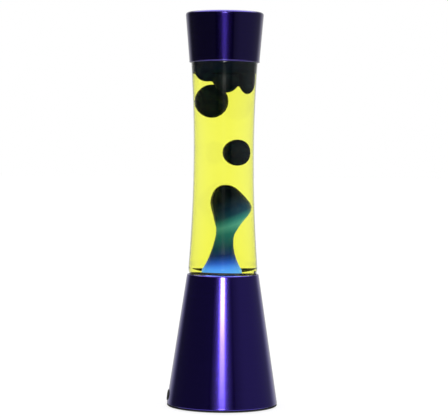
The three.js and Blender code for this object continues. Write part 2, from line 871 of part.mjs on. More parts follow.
function waxTop(extra) {
  const low = foot + topMassLow;
  const high = liquidLevel;
  const reach = (z) => bottleRadius(Math.min(z, shoulderHeight)) - glassWall - topMassGap;
  const outline = [
    at(0, low - 1.5 - extra),
    at(reach(low) - 6, low - extra),
    at(reach(low) + extra, low + 4),
    at(reach(high) + extra, high - 4),
    at(reach(high) - 5, high + extra),
    at(0, high + extra),
  ];
  const lobes = topLobes.map(({ centre, radii }) =>
    egg(
      [centre[0], centre[1], foot + centre[2]],
      radii.map((radius) => radius + extra),
    ),
  );
  return joined(turned(outline, aroundSmall), ...lobes);
}

// The two free balls: where each floats, its half sizes, and how far down and up it may travel.
const upperBall = { x: -8.8, y: 7.5, z: foot + 175.9, radii: [12.1, 10.5, 17.3] };
const middleBall = { x: 11.4, y: -7.3, z: foot + 123.5, radii: [12.8, 10.5, 13.5] };
const lobeLow = foot + topLobes[1].centre[2] - topLobes[1].radii[2];
upperBall.lowest = columnTop + ballClearance + upperBall.radii[2];
upperBall.highest = upperBall.z;
middleBall.lowest = columnTop + ballClearance + middleBall.radii[2];
middleBall.highest = lobeLow - ballClearance - middleBall.radii[2];

const ballShape = (ball) => egg([ball.x, ball.y, ball.z], ball.radii);

// The hollow a ball travels in, carried down into the column's own hollow so that it is open.
function ballShaft(ball) {
  const radii = ball.radii.map((radius) => radius + slideGap);
  const well = 10;
  const low = ball.lowest - radii[2] - well;
  const column = new THREE.CylinderGeometry(1, 1, ball.highest - low, aroundSmall);
  column.rotateX(Math.PI / 2).scale(radii[0], radii[1], 1);
  column.translate(ball.x, ball.y, (ball.highest + low) / 2);
  return joined(column, egg([ball.x, ball.y, ball.highest], radii));
}

class Spiral extends THREE.Curve {
  getPoint(t) {
    const angle = t * coilTurns * 2 * Math.PI;
    const rise = t * coilTurns * coilPitch;
    const [x, y] = [coilRadius * Math.cos(angle), coilRadius * Math.sin(angle)];
    return new THREE.Vector3(x, y, coilLow + rise);
  }
}

const coilLow = bottleFloor + coilWire + touchGap;

function liquid() {
  const side = bottleSide(glassWall + touchGap);
  const low = bottleFloor + puntDepth + touchGap;
  const outline = [at(0, low), ...side.filter((p) => p.y > low), at(0, neckHeight)];
  const tools = [
    rod(60, liquidLevel, liquidLevel + 60, 0, 0, aroundSmall),
    waxColumn(touchGap + 0.1),
    rod(coilRadius - coilWire - 2 * touchGap, low - 2, low + 0.6, 0, 0, aroundLarge),
    waxTop(touchGap + 0.1),
    ballShaft(upperBall),
    ballShaft(middleBall),
  ];
  const coilHigh = coilLow + coilTurns * coilPitch + coilWire + touchGap;
  const coilSpace = coilWire + touchGap;
  tools.push(ring(coilRadius - coilSpace, coilRadius + coilSpace, low - 3, coilHigh, aroundLarge));
  return cut(turned(outline, aroundLarge), ...tools);
}

// Terminal block, its screws, and the leads
const poles = [-1, 0, 1].map((i) => i * poleSpacing);

function terminalBlock() {
  const body = block(
    [-blockLength / 2, blockFront, blockBottom],
    [blockLength / 2, blockFront + blockDepth, blockTop],
  );
  const tools = [];
  for (const x of poles) {
    const tunnel = rod(wireBore, -1, blockDepth + 1).rotateX(-Math.PI / 2);
    tools.push(tunnel.translate(x, blockFront, wireHeight));
    tools.push(rod(blockScrewRadius + touchGap, wireHeight + 2, blockTop + 1, x, blockCentre));
  }
  for (const side of [-1, 1]) {
    const x = side * blockFixingAt;
    tools.push(rod(bracketScrewRadius + screwGap, blockBottom - 1, blockTop + 1, x, blockCentre));
  }
  return cut(body, ...tools);
}

function terminalLead(side, pole) {
  const rise = nippleBore - leadRadius - 1.2;
  const terminalLow = insertTop - insertHeight - terminalHeight - 2 * touchGap;
  const points = [
    [side * terminalAt, 0, terminalLow - leadRadius],
    [side * (terminalAt - 1.6), 0, terminalLow - leadRadius - 0.6],
    [side * rise, 0, nippleTop + 0.4],
    [side * rise, 0, nippleTop - 6],
    [side * rise, 0, nippleBottom],
    [side * rise, 2.6, wireHeight - 0.6],
    [side * rise * 1.5, 12, wireHeight - 1],
    [pole, blockFront - 4, wireHeight],
    [pole, blockFront + 3, wireHeight],
  ];
  return tube(points, leadRadius, 22);
}

function earthLead() {
  const z = holderBottom + earthTagThickness / 2;
  const points = [
    [earthAt, earthTagTail + touchGap, z],
    [earthAt, earthTagTail + 4, z - 0.5],
    [earthAt - 2, earthTagTail + 8.5, z - 5],
    [earthAt - 7, blockFront - 5.5, wireHeight + 1.2],
    [poles[2], blockFront - 2.5, wireHeight],
    [poles[2], blockFront + 3, wireHeight],
  ];
  return tube(points, leadRadius, 16);
}

function earthTag() {
  const low = holderBottom;
  const high = low + earthTagThickness;
  const eye = rod(earthTagRadius, low, high, earthAt, 0);
  const tail = block([earthAt - 1.2, 0, low], [earthAt + 1.2, earthTagTail, high]);
  return cut(joined(eye, tail), rod(bracketScrewRadius + screwGap, low - 1, high + 1, earthAt, 0));
}

// Base
add("base_shell", baseShell(), "purple");
add("bottom_cover", bottomCover(), "blackPlastic");
add("cord_grommet", cordGrommet(), "rubber");
footPadAngles.forEach((angle, i) => add(`foot_${i + 1}`, footPad(angle), "rubber"));
lugAngles.forEach((angle, i) => {
  add(`shell_lug_${i + 1}`, shellLug(angle), "steel");
  add(`cover_screw_${i + 1}`, coverScrew(angle), "steel");
});
add("lampholder_bracket", lampholderBracket(), "steel");
[-1, 1].forEach((side, i) => add(`bracket_screw_${i + 1}`, bracketScrew(side), "steel"));
add("threaded_nipple", ring(nippleBore, nippleRadius, nippleBottom, nippleTop), "brass");
const nutLow = bracketBridge - touchGap - nutThickness;
add("nipple_nut", hexNut(nutAcrossFlats, nippleRadius + touchGap, nutLow, nutThickness, 0), "brass");

// Lampholder
add("lampholder_base", holderBase(), "blackPlastic");
add("lampholder_sleeve", holderSleeve(), "blackPlastic");
const insertLow = insertTop - insertHeight;
add("lampholder_insert", rod(insertRadius, insertLow, insertTop, 0, 0, aroundSmall), "ceramic");
add("screw_shell", screwShell(), "brass");
add("centre_contact", rod(2.2, insertTop + touchGap, bulbTip - touchGap), "brass");
const terminalTop = insertLow - touchGap;
["live_terminal", "neutral_terminal"].forEach((name, i) => {
  const x = (i * 2 - 1) * terminalAt;
  add(name, rod(terminalRadius, terminalTop - terminalHeight, terminalTop, x, 0), "brass");
});

// Wiring inside the base
add("terminal_block", terminalBlock(), "nylon");
poles.forEach((x, i) => {
  const screwSeat = wireHeight + 2 + touchGap;
  add(`block_screw_${i + 1}`, rod(blockScrewRadius, screwSeat, blockTop - 0.6, x, blockCentre), "steel");
});
const fixingHead = blockTop + touchGap + 1.4;
const fixingTip = coverUnderside + 0.9;
const fixingScrew = screw(1.9, 1.4, bracketScrewRadius, fixingHead, fixingTip, blockFixingAt, blockCentre);
add("block_fixing_screw", fixingScrew, "steel");
add("live_lead", terminalLead(-1, poles[0]), "liveLead");
add("neutral_lead", terminalLead(1, poles[1]), "neutralLead");
add("earth_lead", earthLead(), "earthLead");
add("earth_tag", earthTag(), "brass");
const earthHead = holderBottom + earthTagThickness + touchGap;
add("earth_screw", screw(2.8, 1.8, bracketScrewRadius, earthHead + 1.8, nutLow - 0.5, earthAt, 0), "steel");
add("earth_nut", hexNut(5.5, bracketScrewRadius + screwGap, nutLow + 0.6, 2.4, earthAt), "steel");

// Bulb
add("bulb_envelope", bulbEnvelope(), "bulbGlass");
add("bulb_cap", bulbCap(), "brass");
add("bulb_insulator", bulbInsulator(), "blackGlass");
add("bulb_contact", bulbContact(), "solder");
add("bulb_stem", bulbStem(), "clearGlass");
[-1, 1].forEach((side, i) => add(`support_wire_${i + 1}`, supportWire(side), "tungsten"));
add("filament", filament(), "tungsten");

// Bottle and what it holds
add("glass_bottle", glassBottle(), "clearGlass");
const linerLow = bottleTop + touchGap;
const linerTop = linerLow + linerThickness;
add("crown_liner", rod(finishRadius - 0.4, linerLow, linerTop, 0, 0, aroundSmall), "foam");
add("crown_cap", crownCap(), "steel");
add("wax_coil", tubeOn(new Spiral(), coilWire, 44, 6), "wire");
add("liquid", liquid(), "liquid");
add("wax_column", waxColumn(0), "wax");
add("wax_top", waxTop(0), "wax");
add("upper_wax_ball", ballShape(upperBall), "wax");
add("middle_wax_ball", ballShape(middleBall), "wax");

// Cap
add("top_cap", topCap(), "purple");
const padTop = capTop - capTopThickness - touchGap;
const padLow = linerTop + touchGap + crownWall + touchGap;
add("cap_pad", rod(padRadius, padLow, padTop, 0, 0, aroundSmall), "foam");

export default group;
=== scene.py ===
import math

import bmesh
import bpy
from mathutils import Matrix, Vector


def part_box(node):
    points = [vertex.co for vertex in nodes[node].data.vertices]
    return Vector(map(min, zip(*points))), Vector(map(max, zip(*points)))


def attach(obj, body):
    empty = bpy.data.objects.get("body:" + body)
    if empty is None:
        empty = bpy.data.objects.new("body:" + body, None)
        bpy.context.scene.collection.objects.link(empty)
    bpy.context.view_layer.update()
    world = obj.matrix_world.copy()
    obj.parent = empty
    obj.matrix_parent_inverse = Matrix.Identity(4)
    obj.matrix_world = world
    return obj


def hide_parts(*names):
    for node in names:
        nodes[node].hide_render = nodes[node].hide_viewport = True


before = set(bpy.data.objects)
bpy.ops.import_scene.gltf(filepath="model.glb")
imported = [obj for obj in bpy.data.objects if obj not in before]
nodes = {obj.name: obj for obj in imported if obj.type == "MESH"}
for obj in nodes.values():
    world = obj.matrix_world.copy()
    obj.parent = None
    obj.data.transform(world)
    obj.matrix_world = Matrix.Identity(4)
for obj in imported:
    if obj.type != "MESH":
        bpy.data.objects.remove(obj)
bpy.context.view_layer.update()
mm = 0.001
creaseAngle = 40
tolerance = {"merge": 1e-7, "onPlane": 2e-5, "onAxis": 1e-6, "samePoint": 5e-6, "level": 1e-6, "sameRadius": 2e-6}
print("frame loaded:", len(nodes), "nodes")


# the view from the front, a little above the lamp's middle
cameraSetup = {"distance": 1.717, "height": 0.259, "side": 0.0002, "pitchDown": 1.94, "roll": -0.45, "lens": 135.6}


def makeCamera(setup):
    data = bpy.data.cameras.new("camera")
    data.lens = setup["lens"]
    data.sensor_width = 36
    camera = bpy.data.objects.new("camera", data)
    camera.location = (setup["side"], -setup["distance"], setup["height"])
    camera.rotation_euler = (math.radians(90 - setup["pitchDown"]), math.radians(setup["roll"]), 0)
    bpy.context.scene.collection.objects.link(camera)
    bpy.context.scene.camera = camera


makeCamera(cameraSetup)


# mesh helpers
def addObject(name, mesh):
    piece = bpy.data.objects.new(name, mesh)
    bpy.context.scene.collection.objects.link(piece)
    return piece


def shaded(mesh, sharpAngle=creaseAngle):
    mesh.shade_smooth()
    mesh.set_sharp_from_angle(angle=math.radians(sharpAngle))
    return mesh


def fromBmesh(name, bm, sharpAngle=creaseAngle):
    mesh = bpy.data.meshes.new(name)
    bm.to_mesh(mesh)
    bm.free()
    return addObject(name, shaded(mesh, sharpAngle))


# bakes a piece's modifiers into its mesh
def settle(piece, sharpAngle=creaseAngle):
    graph = bpy.context.evaluated_depsgraph_get()
    mesh = bpy.data.meshes.new_from_object(piece.evaluated_get(graph))
    piece.modifiers.clear()
    piece.data = shaded(mesh, sharpAngle)
    return piece


def mergedCopy(node):
    bm = bmesh.new()
    bm.from_mesh(nodes[node].data)
    bmesh.ops.remove_doubles(bm, verts=bm.verts, dist=tolerance["merge"])
    return bm


# the outline of a turned node, as (radius, height) points in the half-plane facing the front
def cadOutline(node, centre=(0, 0)):
    bm = mergedCopy(node)
    near = tolerance["onPlane"]
    onPlane = [v for v in bm.verts if abs(v.co.x - centre[0]) < near and v.co.y - centre[1] < near]
    kept = set(onPlane)
    links = {v: [e.other_vert(v) for e in v.link_edges if e.other_vert(v) in kept] for v in onPlane}
    ends = [v for v in onPlane if len(links[v]) == 1]
    closed = not ends
    here = ends[0] if ends else onPlane[0]
    chain = [here]
    seen = {here}
    while True:
        ahead = [v for v in links[here] if v not in seen]
        if not ahead:
            break
        here = ahead[0]
        seen.add(here)
        chain.append(here)
    outline = [(max(0.0, centre[1] - v.co.y), v.co.z) for v in chain]
    bm.free()
    return outline, closed


# how much of a side a curve or a fillet may use
softReach = {"curve": 0.499, "fillet": 0.45}


# rounds an outline: gentle turns become one smooth curve, sharp corners get a small fillet
def softened(outline, closed, fillet=0.2 * mm, steps=5, sharpTurn=55):
    points = [Vector(p) for p in outline]
    last = len(points) - 1
    soft = []
    for i, here in enumerate(points):
        if not closed and i in (0, last):
            soft.append(here)
            continue
        back = points[i - 1] - here
        ahead = points[(i + 1) % len(points)] - here
        turn = math.pi - back.angle(ahead)
        room = min(back.length, ahead.length)
        if turn < math.radians(sharpTurn):
            reach = softReach["curve"] * room
        else:
            reach = min(fillet * math.tan(turn / 2), softReach["fillet"] * room)
        start = here + back.normalized() * reach
        end = here + ahead.normalized() * reach
        for k in range(steps + 1):
            t = k / steps
            soft.append(start * (1 - t) ** 2 + here * (2 * t * (1 - t)) + end * t * t)
    kept = [soft[0]]
    for p in soft[1:]:
        if (p - kept[-1]).length > tolerance["samePoint"]:
            kept.append(p)
    return [(max(0.0, p.x), p.y) for p in kept]


# turns an outline round an upright axis
def spin(name, outline, closed, around, centre=(0, 0), sharpAngle=creaseAngle):
    bm = bmesh.new()
    rings = []
    for radius, height in outline:
        if radius < tolerance["onAxis"]:
            rings.append([bm.verts.new((centre[0], centre[1], height))])
            continue
        angles = [2 * math.pi * i / around for i in range(around)]
        rings.append(
            [
                bm.verts.new((centre[0] + radius * math.sin(a), centre[1] - radius * math.cos(a), height))
                for a in angles
            ]
        )
    following = rings[1:] + (rings[:1] if closed else [])
    for low, high in zip(rings, following):
        if len(low) == 1 and len(high) == 1:
            continue
        for i in range(around):
            j = (i + 1) % around
            corners = [low[i % len(low)], low[j % len(low)], high[j % len(high)], high[i % len(high)]]
            bm.faces.new(list(dict.fromkeys(corners)))
    bmesh.ops.recalc_face_normals(bm, faces=bm.faces)
    return fromBmesh(name, bm, sharpAngle)


def spinNode(name, node, around, centre=(0, 0), fillet=0.2 * mm):
    outline, closed = cadOutline(node, centre)
    return spin(name, softened(outline, closed, fillet), closed, around, centre)


def boxCentre(node):
    low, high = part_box(node)
    return (low + high) / 2


# splits the straight steps of every ring round the axis and moves the new points out onto the circle
def rounded(bm, smallest, cuts):
    steps = []
    for edge in bm.edges:
        first, second = edge.verts
        level = abs(first.co.z - second.co.z) < tolerance["level"]
        alike = abs(first.co.xy.length - second.co.xy.length) < tolerance["sameRadius"]
        if level and alike and first.co.xy.length > smallest:
            steps.append((edge, first.co.xy.length))
    for edge, radius in steps:
        made = bmesh.ops.subdivide_edges(bm, edges=[edge], cuts=cuts)
        for v in made["geom_inner"]:
            if isinstance(v, bmesh.types.BMVert):
                v.co.xy = v.co.xy.normalized() * radius


easing = {"segments": 2, "flatWeight": 100, "roundCuts": 3}


# a flat-sided node with its edges eased, and its rings wider than roundFrom made rounder
def eased(name, node, width=0.25 * mm, roundFrom=None):
    bm = mergedCopy(node)
    bmesh.ops.dissolve_limit(bm, angle_limit=math.radians(1), verts=bm.verts, edges=bm.edges)
    if roundFrom:
        rounded(bm, roundFrom, easing["roundCuts"])
    piece = fromBmesh(name, bm)
    bevel = piece.modifiers.new("ease", "BEVEL")
    bevel.width = width
    bevel.segments = easing["segments"]
    bevel.limit_method = "ANGLE"
    bevel.angle_limit = math.radians(creaseAngle)
    flat = piece.modifiers.new("flat", "WEIGHTED_NORMAL")
    flat.weight = easing["flatWeight"]
    flat.keep_sharp = True
    return settle(piece)


# cuts other pieces out of one, and throws them away
def carve(piece, cutters):
    for cutter in cutters:
        boolean = piece.modifiers.new("cut", "BOOLEAN")
        boolean.operation = "DIFFERENCE"
        boolean.solver = "EXACT"
        boolean.object = cutter
    settle(piece)
    for cutter in cutters:
        bpy.data.objects.remove(cutter)
    return piece


# gives a piece its material and its body, and hides the nodes it stands for
def place(piece, material, body, slot, *replaced):
    piece.data.materials.clear()
    piece.data.materials.append(material)
    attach(piece, body)
    if replaced:
        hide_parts(*replaced)
    return piece


# material helpers
def newMaterial(name):
    material = bpy.data.materials.new(name)
    material.use_nodes = True
    return material, material.node_tree, material.node_tree.nodes["Principled BSDF"]


def addNode(tree, kind, settings=(), values=()):
    node = tree.nodes.new(kind)
    for key, value in dict(settings).items():
        setattr(node, key, value)
    for key, value in dict(values).items():
        node.inputs[key].default_value = value
    return node


# fills a node's inputs from numbers or from other nodes' outputs
def feed(tree, node, values):
    for key, value in values.items():
        if isinstance(value, float):
            node.inputs[key].default_value = value
        else:
            tree.links.new(value, node.inputs[key])
    return node


def calculate(tree, operation, *values):
    node = addNode(tree, "ShaderNodeMath", {"operation": operation})
    return feed(tree, node, dict(enumerate(values))).outputs[0]


# a value that goes from low to high while its source goes from start to end
def fade(tree, source, start, end, low=0.0, high=1.0, kind="LINEAR"):
    node = addNode(tree, "ShaderNodeMapRange", {"interpolation_type": kind})
    values = {"Value": source, "From Min": start, "From Max": end, "To Min": low, "To Max": high}
    return feed(tree, node, values).outputs["Result"]


def ramp(tree, share, shape):
    node = addNode(tree, "ShaderNodeValToRGB")
    stops = node.color_ramp.elements
    while len(stops) < len(shape):
        stops.new(0.5)
    for stop, (position, colour) in zip(stops, shape):
        stop.position = position
        stop.color = (*colour, 1)
    tree.links.new(share, node.inputs["Fac"])
    return node.outputs["Color"]


# a piece's own coordinates, whole and as X, Y and Z
def ownPlace(tree):
    coords = addNode(tree, "ShaderNodeTexCoord")
    split = addNode(tree, "ShaderNodeSeparateXYZ")
    tree.links.new(coords.outputs["Object"], split.inputs[0])
    return coords.outputs["Object"], split.outputs


def newGroup(name, inputs, outputs):
    tree = bpy.data.node_groups.new(name, "ShaderNodeTree")
    for label, value in inputs.items():
        tree.interface.new_socket(label, in_out="INPUT", socket_type="NodeSocketFloat").default_value = value
    for label in outputs:
        tree.interface.new_socket(label, in_out="OUTPUT", socket_type="NodeSocketFloat")
    return tree, tree.nodes.new("NodeGroupInput").outputs, tree.nodes.new("NodeGroupOutput").inputs


# turning marks: fine rings round the axis, from noise that mostly changes along the outline
def makeTurningMarks():
    tree, taken, given = newGroup("turningMarks", {"Rings": 1500.0, "Drift": 25.0}, ["Mask"])
    _, own = ownPlace(tree)
    flat = feed(tree, addNode(tree, "ShaderNodeCombineXYZ"), {"X": own["X"], "Y": own["Y"]})
    radius = addNode(tree, "ShaderNodeVectorMath", {"operation": "LENGTH"})
    tree.links.new(flat.outputs[0], radius.inputs[0])
    along = calculate(tree, "ADD", radius.outputs["Value"], own["Z"])
    spot = {
        "X": calculate(tree, "MULTIPLY", own["X"], taken["Drift"]),
        "Y": calculate(tree, "MULTIPLY", own["Y"], taken["Drift"]),
        "Z": calculate(tree, "MULTIPLY", along, taken["Rings"]),
    }
    joined = feed(tree, addNode(tree, "ShaderNodeCombineXYZ"), spot)
    noise = addNode(tree, "ShaderNodeTexNoise", (), {"Scale": 1.0, "Detail": 2.0, "Roughness": 0.6})
    tree.links.new(joined.outputs[0], noise.inputs["Vector"])
    tree.links.new(noise.outputs["Fac"], given["Mask"])
    return tree


# even grain, for mouldings, castings and skins
def makeGrain():
    tree, taken, given = newGroup("grain", {"Scale": 3000.0, "Blotch": 60.0}, ["Fine", "Broad"])
    coords, _ = ownPlace(tree)
    for scaleName, detail, output in (("Scale", 3.0, "Fine"), ("Blotch", 2.0, "Broad")):
        noise = addNode(tree, "ShaderNodeTexNoise", (), {"Detail": detail})
        feed(tree, noise, {"Vector": coords, "Scale": taken[scaleName]})
        tree.links.new(noise.outputs["Fac"], given[output])
    return tree


turningMarks = makeTurningMarks()
grain = makeGrain()


def useGroup(tree, group, values):
    node = tree.nodes.new("ShaderNodeGroup")
    node.node_tree = group
    for key, value in values.items():
        node.inputs[key].default_value = value
    return node.outputs


noiseRange = (0.3, 0.7)


# stretches the middle of a noise over a range
def spread(tree, source, low, high):
    return fade(tree, source, *noiseRange, low, high)


# sockets 6, 7 and 2 are the ones for colours, since every kind of value has sockets of the same names
def blendColours(tree, mask, first, second):
    node = addNode(tree, "ShaderNodeMix", {"data_type": "RGBA"})
    node.inputs[6].default_value = (*first, 1)
    node.inputs[7].default_value = (*second, 1)
    tree.links.new(mask, node.inputs[0])
    return node.outputs[2]


def bumpFrom(tree, bsdf, height, distance, strength):
    bump = addNode(tree, "ShaderNodeBump", (), {"Distance": distance, "Strength": strength})
    tree.links.new(height, bump.inputs["Height"])
    tree.links.new(bump.outputs["Normal"], bsdf.inputs["Normal"])


# a finish of two close colours and a roughness range over one of the two groups
def finish(name, look):
    material, tree, bsdf = newMaterial(name)
    if look.get("turned"):
        marks = useGroup(tree, turningMarks, {"Rings": look["turned"]})
        mask, height = marks["Mask"], marks["Mask"]
    else:
        marks = useGroup(tree, grain, {"Scale": look["grain"], "Blotch": look.get("blotch", 60.0)})
        mask, height = marks["Broad"], marks["Fine"]
    share = spread(tree, mask, 0.0, 1.0)
    tree.links.new(blendColours(tree, share, look["dark"], look["light"]), bsdf.inputs["Base Color"])
    tree.links.new(spread(tree, mask, *look["roughness"]), bsdf.inputs["Roughness"])
    bsdf.inputs["Metallic"].default_value = look.get("metallic", 0)
    bsdf.inputs["Coat Weight"].default_value = look.get("coat", 0)
    bsdf.inputs["Coat Roughness"].default_value = look.get("coatRoughness", 0.1)
    bumpFrom(tree, bsdf, height, look["bump"], look.get("bumpStrength", 0.3))
    return material


purple = {
    "turned": 900.0, "dark": (0.050, 0.021, 0.40), "light": (0.056, 0.024, 0.43), "roughness": (0.16, 0.19),
    "metallic": 1.0, "coat": 1.0, "coatRoughness": 0.06, "bump": 0.0000012, "bumpStrength": 0.12,
}
finishes = {
    "purpleMetal": purple,
    # painted shade: the base's purple metal darkened to about half for the cap, which is the same metal
    "capMetal": {**purple, "dark": (0.026, 0.011, 0.19), "light": (0.030, 0.013, 0.21)},
    "blackPlastic": {
        "grain": 2600.0, "dark": (0.009, 0.009, 0.010), "light": (0.016, 0.016, 0.018), "roughness": (0.42, 0.58),
        "bump": 0.00003,
    },
    "rubber": {
        "grain": 1800.0, "dark": (0.008, 0.008, 0.008), "light": (0.020, 0.020, 0.019), "roughness": (0.72, 0.9),
        "bump": 0.00005,
    },
    "zincSteel": {
        "grain": 1200.0, "dark": (0.50, 0.51, 0.53), "light": (0.68, 0.69, 0.71), "roughness": (0.26, 0.42),
        "metallic": 1.0, "bump": 0.00001, "blotch": 180.0,
    },
    "brass": {
        "turned": 2400.0, "dark": (0.55, 0.36, 0.12), "light": (0.74, 0.54, 0.24), "roughness": (0.22, 0.36),
        "metallic": 1.0, "bump": 0.00001,
    },
    "ceramic": {
        "grain": 1500.0, "dark": (0.72, 0.70, 0.64), "light": (0.82, 0.80, 0.75), "roughness": (0.38, 0.6),
        "bump": 0.00002,
    },
    "nylon": {
        "grain": 1500.0, "dark": (0.70, 0.71, 0.71), "light": (0.80, 0.81, 0.81), "roughness": (0.38, 0.5),
        "bump": 0.00001,
    },
    "blackGlass": {
        "grain": 900.0, "dark": (0.010, 0.008, 0.007), "light": (0.02, 0.017, 0.015), "roughness": (0.1, 0.22),
        "bump": 0.00001,
    },
    "tungsten": {
        "grain": 4000.0, "dark": (0.20, 0.19, 0.17), "light": (0.34, 0.32, 0.29), "roughness": (0.35, 0.5),
        "metallic": 1.0, "bump": 0.00001,
    },
    "solder": {
        "grain": 1400.0, "dark": (0.40, 0.40, 0.41), "light": (0.56, 0.56, 0.58), "roughness": (0.32, 0.5),
        "metallic": 1.0, "bump": 0.00003,
    },
    "coilWire": {
        "grain": 1500.0, "dark": (0.045, 0.042, 0.022), "light": (0.085, 0.08, 0.045), "roughness": (0.35, 0.5),
        "metallic": 1.0, "bump": 0.00001,
    },
    "foam": {
        "grain": 900.0, "dark": (0.018, 0.018, 0.019), "light": (0.04, 0.04, 0.042), "roughness": (0.85, 0.98),
        "bump": 0.0003, "bumpStrength": 0.6,
    },
    "liveInsulation": {
        "grain": 2000.0, "dark": (0.12, 0.045, 0.016), "light": (0.17, 0.065, 0.024), "roughness": (0.42, 0.55),
        "bump": 0.00001,
    },
    "neutralInsulation": {
        "grain": 2000.0, "dark": (0.02, 0.09, 0.34), "light": (0.03, 0.13, 0.44), "roughness": (0.42, 0.55),
        "bump": 0.00001,
    },
}
looks = {name: finish(name, look) for name, look in finishes.items()}


earthLook = {
    "stripes": 190.0, "wander": 0.4, "green": (0.03, 0.22, 0.03), "yellow": (0.72, 0.62, 0.03),
    "roughness": (0.42, 0.55), "grain": 2000.0,
}


# green with a yellow stripe along each side of the lead
def earthInsulation(look):
    material, tree, bsdf = newMaterial("earthInsulation")
    coords, _ = ownPlace(tree)
    wave = addNode(
        tree, "ShaderNodeTexWave", {"bands_direction": "X"}, {"Scale": look["stripes"], "Distortion": look["wander"]}
    )
    tree.links.new(coords, wave.inputs["Vector"])
    mask = spread(tree, wave.outputs["Fac"], 0.0, 1.0)
    tree.links.new(blendColours(tree, mask, look["green"], look["yellow"]), bsdf.inputs["Base Color"])
    marks = useGroup(tree, grain, {"Scale": look["grain"]})
    tree.links.new(spread(tree, marks["Broad"], *look["roughness"]), bsdf.inputs["Roughness"])
    return material


glassLooks = {
    "bottleGlass": {"tint": (0.975, 0.985, 0.955), "roughness": 0.02, "index": 1.5},
    "stemGlass": {"tint": (0.96, 0.97, 0.96), "roughness": 0.05, "index": 1.5},
}


# clear glass that lets the view straight through and shines at its edges
def clearGlass(name, look):
    material, tree, bsdf = newMaterial(name)
    tree.nodes.remove(bsdf)
    see = addNode(tree, "ShaderNodeBsdfTransparent", (), {"Color": (*look["tint"], 1)})
    shine = addNode(tree, "ShaderNodeBsdfGlossy", (), {"Roughness": look["roughness"]})
    edge = addNode(tree, "ShaderNodeFresnel", (), {"IOR": look["index"]})
    facing = addNode(tree, "ShaderNodeNewGeometry")
    outer = calculate(tree, "SUBTRACT", 1.0, facing.outputs["Backfacing"])
    amount = calculate(tree, "MULTIPLY", edge.outputs[0], outer)
    mix = feed(tree, addNode(tree, "ShaderNodeMixShader"), {0: amount, 1: see.outputs[0], 2: shine.outputs[0]})
    tree.links.new(mix.outputs[0], tree.nodes["Material Output"].inputs["Surface"])
    return material


liquidLook = {"index": 1.33, "colour": (0.975, 0.965, 0.06), "density": 38.0}


def yellowLiquid(look):
    material, tree, bsdf = newMaterial("yellowLiquid")
    bsdf.inputs["Base Color"].default_value = (1, 1, 1, 1)
    bsdf.inputs["Roughness"].default_value = 0
    bsdf.inputs["IOR"].default_value = look["index"]
    bsdf.inputs["Transmission Weight"].default_value = 1
    absorb = addNode(
        tree, "ShaderNodeVolumeAbsorption", (), {"Color": (*look["colour"], 1), "Density": look["density"]}
    )
    tree.links.new(absorb.outputs[0], tree.nodes["Material Output"].inputs["Volume"])
    return material


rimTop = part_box("base_shell")[1].z
# the wax is nearly black where it floats, with a faint painted glow, and a stronger painted glow at its foot stands
# for the bulb's light shining through
waxLook = {
    "dark": (0.0012, 0.004, 0.009), "light": (0.003, 0.009, 0.018), "paintedGlow": (0.0003, 0.0009, 0.0040),
    "paintedGlowSpread": 1.4, "shine": 0.035, "roughness": (0.06, 0.12), "grain": 700.0, "blotch": 90.0,
    "glow": 1.0, "rightGain": 560.0, "tilt": 7.0,
}


# painted glow, as emission, for the light through the wax; it changes with height and is stronger to the right
def paintedGlowThrough(tree, bsdf, look, glowStops):
    _, own = ownPlace(tree)
    low, high = glowStops[0][0], glowStops[-1][0]
    lean = calculate(tree, "MULTIPLY", calculate(tree, "SUBTRACT", own["Z"], rimTop), own["X"])
    share = fade(tree, calculate(tree, "MULTIPLY_ADD", lean, -look["tilt"], own["Z"]), low, high)
    shape = [((z - low) / (high - low), colour) for z, colour in glowStops]
    tree.links.new(ramp(tree, share, shape), bsdf.inputs["Emission Color"])
    brighter = calculate(tree, "MULTIPLY_ADD", lean, look["rightGain"], look["glow"])
    tree.links.new(brighter, bsdf.inputs["Emission Strength"])


def darkWax(name, look, glowStops=None):
    material, tree, bsdf = newMaterial(name)
    marks = useGroup(tree, grain, {"Scale": look["grain"], "Blotch": look["blotch"]})
    share = spread(tree, marks["Broad"], 0.0, 1.0)
    tree.links.new(blendColours(tree, share, look["dark"], look["light"]), bsdf.inputs["Base Color"])
    tree.links.new(spread(tree, marks["Broad"], *look["roughness"]), bsdf.inputs["Roughness"])
    bsdf.inputs["Specular IOR Level"].default_value = look["shine"]
    if glowStops:
        paintedGlowThrough(tree, bsdf, look, glowStops)
    else:
        # a faint painted glow on the floating wax, as emission
        brightestPaintedGlow = [look["paintedGlowSpread"] * v for v in look["paintedGlow"]]
        tree.links.new(blendColours(tree, share, look["paintedGlow"], brightestPaintedGlow), bsdf.inputs["Emission Color"])
        bsdf.inputs["Emission Strength"].default_value = 1
    return material


# heights above the cone's rim, and the painted glow that stands for the light coming through the wax there
columnGlow = [
    (-0.0040, (0.500, 0.900, 2.600)), (0.0028, (0.120, 0.480, 2.200)), (0.0069, (0.070, 0.320, 2.100)),
    (0.0110, (0.028, 0.130, 1.350)), (0.0150, (0.012, 0.060, 0.650)), (0.0190, (0.006, 0.022, 0.240)),
    (0.0270, (0.006, 0.050, 0.150)), (0.0395, (0.012, 0.130, 0.230)), (0.0470, (0.055, 0.260, 0.370)),
    (0.0515, (0.020, 0.150, 0.220)), (0.0570, (0.004, 0.030, 0.080)), (0.0660, (0.001, 0.008, 0.030)),
    (0.0760, (0.0004, 0.0010, 0.004)),
]
looks["earthInsulation"] = earthInsulation(earthLook)
for name, look in glassLooks.items():
    looks[name] = clearGlass(name, look)
looks["liquid"] = yellowLiquid(liquidLook)
looks["wax"] = darkWax("darkWax", waxLook)
looks["columnWax"] = darkWax("columnWax", waxLook, [(rimTop + z, colour) for z, colour in columnGlow])


bulbLook = {
    "faceFrom": 13, "faceTo": 12, "mirror": (0.78, 0.78, 0.78), "frost": (0.86, 0.85, 0.81),
    "mirrorRoughness": 0.12, "frostRoughness": 0.5, "glow": (1.0, 0.93, 0.80), "glowPower": 0.8,
}


